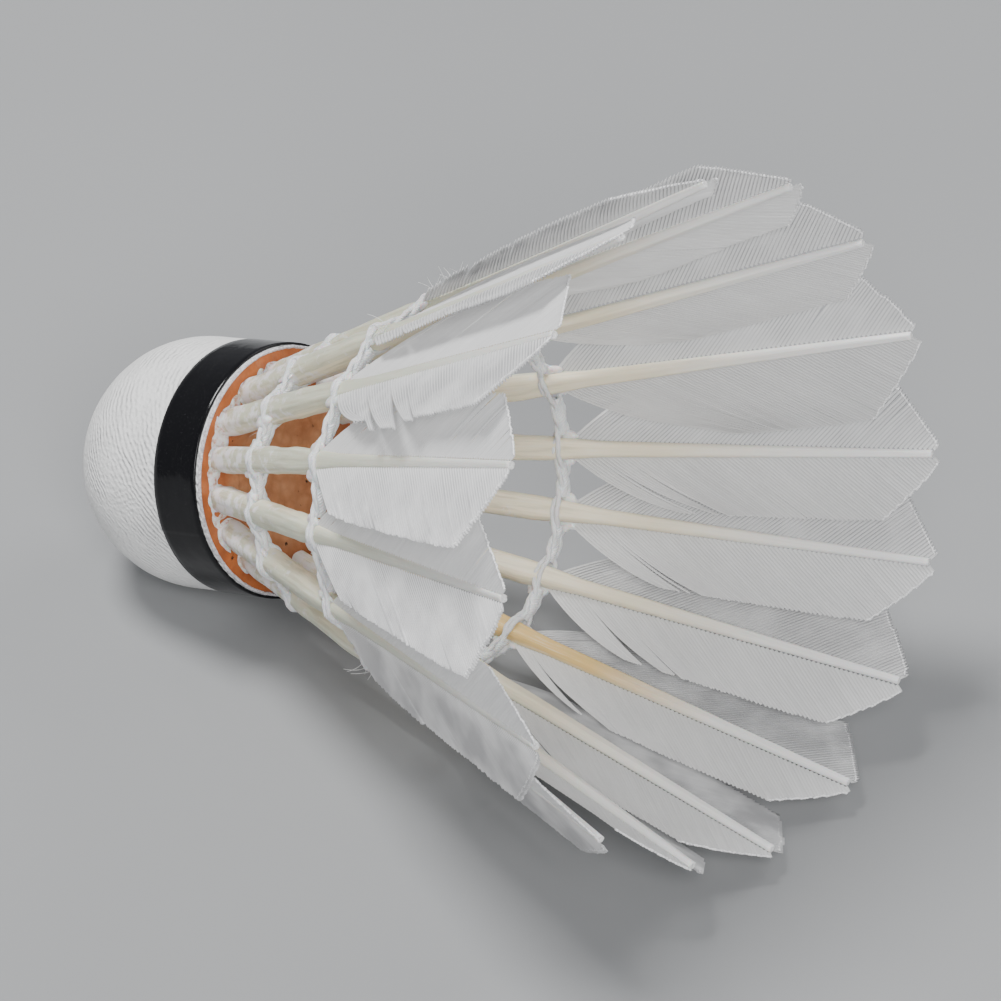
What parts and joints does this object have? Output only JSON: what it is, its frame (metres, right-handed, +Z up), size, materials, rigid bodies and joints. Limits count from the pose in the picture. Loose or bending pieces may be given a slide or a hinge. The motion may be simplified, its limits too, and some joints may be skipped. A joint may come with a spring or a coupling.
{
  "type": "feather badminton shuttlecock",
  "caption": "Feather badminton shuttlecock lying on its side: domed cork head with cover and band, and an open cone of overlapping feathers tied with two rows of thread.",
  "frame": {"origin": "centre of the bounding box in plan, at floor level", "axes": "+Z up; the shuttle lies on its side with the nose towards -X and the open end of the skirt towards +X, its long axis in the XZ plane and tipped up about 17 degrees towards +X"},
  "size_m": [0.0888, 0.0656, 0.0644],
  "materials": {
    "cork": "natural cork, matte",
    "cork_layer": "pressed cork, matte, orange-brown",
    "cover": "white skin, finely ribbed, semi-matte",
    "band": "black, glossy film",
    "glue": "dried glue, whitish, slightly translucent",
    "thread": "twisted cotton, glue-soaked",
    "shaft": "horn, cream, satin",
    "blade": "white feather, soft sheen"
  },
  "bodies": {
    "root": {"cork_nose": "cork", "cork_top_layer": "cork_layer", "cork_cover": "cover", "head_band": "band", "root_glue": "glue", "thread_lower": "thread", "thread_upper": "thread", "feather_01_shaft": "shaft", "feather_01_vane_over": "blade", "feather_01_vane_under": "blade", "feather_02_shaft": "shaft", "feather_02_vane_over": "blade", "feather_02_vane_under": "blade", "feather_03_shaft": "shaft", "feather_03_vane_over": "blade", "feather_03_vane_under": "blade", "feather_04_shaft": "shaft", "feather_04_vane_over": "blade", "feather_04_vane_under": "blade", "feather_05_shaft": "shaft", "feather_05_vane_over": "blade", "feather_05_vane_under": "blade", "feather_06_shaft": "shaft", "feather_06_vane_over": "blade", "feather_06_vane_under": "blade", "feather_07_shaft": "shaft", "feather_07_vane_over": "blade", "feather_07_vane_under": "blade", "feather_08_shaft": "shaft", "feather_08_vane_over": "blade", "feather_08_vane_under": "blade", "feather_09_shaft": "shaft", "feather_09_vane_over": "blade", "feather_09_vane_under": "blade", "feather_10_shaft": "shaft", "feather_10_vane_over": "blade", "feather_10_vane_under": "blade", "feather_11_shaft": "shaft", "feather_11_vane_over": "blade", "feather_11_vane_under": "blade", "feather_12_shaft": "shaft", "feather_12_vane_over": "blade", "feather_12_vane_under": "blade", "feather_13_shaft": "shaft", "feather_13_vane_over": "blade", "feather_13_vane_under": "blade", "feather_14_shaft": "shaft", "feather_14_vane_over": "blade", "feather_14_vane_under": "blade", "feather_15_shaft": "shaft", "feather_15_vane_over": "blade", "feather_15_vane_under": "blade", "feather_16_shaft": "shaft", "feather_16_vane_over": "blade", "feather_16_vane_under": "blade"}
  },
  "joints": []
}
